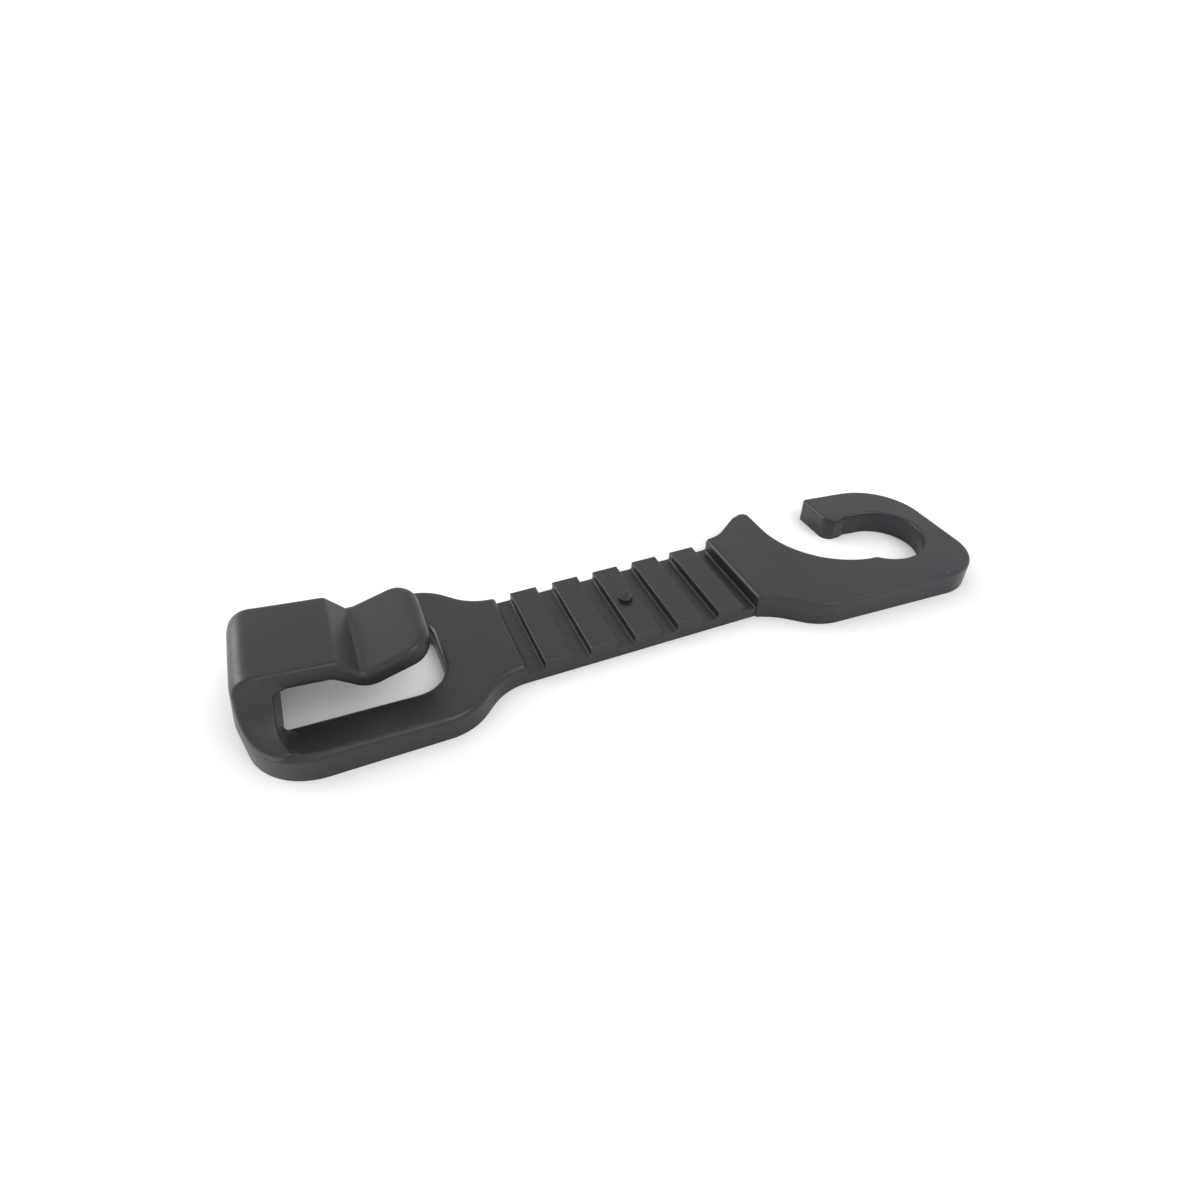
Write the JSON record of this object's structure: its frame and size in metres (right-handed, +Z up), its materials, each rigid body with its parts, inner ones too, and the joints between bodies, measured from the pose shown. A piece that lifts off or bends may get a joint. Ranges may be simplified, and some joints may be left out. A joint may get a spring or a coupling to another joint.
{
  "type": "headrest bag hanger strap",
  "caption": "Flexible one-shot plastic hanger: a bag hook over an eye plate, a ribbed strap that bends, and an open ring that snaps onto a seat's headrest post.",
  "frame": {"origin": "on the flat underside, in the middle of the centre rib, halfway across the strap", "axes": "+X along the strap towards the ring, +Y across it towards the side the ring's mouth opens on, +Z up from the flat underside towards the ribs and the hook"},
  "size_m": [0.1194, 0.031, 0.0134],
  "materials": {
    "moulding": "satin, finely textured"
  },
  "bodies": {
    "hook_end": {"eye_plate": "moulding", "hook_riser": "moulding", "tongue_root": "moulding", "web_1": "moulding"},
    "tongue": {"hook_tongue": "moulding", "thumb_lip": "moulding"},
    "strap_1": {"rib_1": "moulding", "web_2": "moulding"},
    "strap_2": {"rib_2": "moulding", "web_3": "moulding"},
    "strap_3": {"rib_3": "moulding", "gate_pip": "moulding", "web_4": "moulding"},
    "strap_4": {"rib_4": "moulding", "web_5": "moulding"},
    "strap_5": {"rib_5": "moulding", "web_6": "moulding"},
    "ring_end": {"ring_plate": "moulding", "arm_root": "moulding"},
    "arm": {"ring_arm": "moulding"}
  },
  "joints": [
    {"name": "strap_bend_1", "type": "hinge", "parent": "hook_end", "child": "strap_1", "pos_m": [-0.01814, 0, 0.00088], "axis": [0, 1, 0], "range_deg": [-6, 15], "stiffness_Nm_per_rad": 0.8, "deforming": ["web_1"]},
    {"name": "strap_bend_2", "type": "hinge", "parent": "strap_1", "child": "strap_2", "pos_m": [-0.01095, 0, 0.00088], "axis": [0, 1, 0], "range_deg": [-6, 15], "stiffness_Nm_per_rad": 0.8, "deforming": ["web_2"]},
    {"name": "strap_bend_3", "type": "hinge", "parent": "strap_2", "child": "strap_3", "pos_m": [-0.00365, 0, 0.00088], "axis": [0, 1, 0], "range_deg": [-6, 15], "stiffness_Nm_per_rad": 0.8, "deforming": ["web_3"]},
    {"name": "strap_bend_4", "type": "hinge", "parent": "strap_3", "child": "strap_4", "pos_m": [0.00365, 0, 0.00088], "axis": [0, 1, 0], "range_deg": [-6, 15], "stiffness_Nm_per_rad": 0.8, "deforming": ["web_4"]},
    {"name": "strap_bend_5", "type": "hinge", "parent": "strap_4", "child": "strap_5", "pos_m": [0.01095, 0, 0.00088], "axis": [0, 1, 0], "range_deg": [-6, 15], "stiffness_Nm_per_rad": 0.8, "deforming": ["web_5"]},
    {"name": "strap_bend_6", "type": "hinge", "parent": "strap_5", "child": "ring_end", "pos_m": [0.01814, 0, 0.00088], "axis": [0, 1, 0], "range_deg": [-6, 15], "stiffness_Nm_per_rad": 0.8, "deforming": ["web_6"]},
    {"name": "tongue_flex", "type": "hinge", "parent": "hook_end", "child": "tongue", "pos_m": [-0.05, 0, 0.0115], "axis": [0, -1, 0], "range_deg": [-3, 8], "stiffness_Nm_per_rad": 2.5, "deforming": ["tongue_root"]},
    {"name": "arm_flex", "type": "hinge", "parent": "ring_end", "child": "arm", "pos_m": [0.0585, -0.0025, 0.00213], "axis": [0, 0, -1], "range_deg": [0, 7], "stiffness_Nm_per_rad": 6, "deforming": ["arm_root"]}
  ]
}
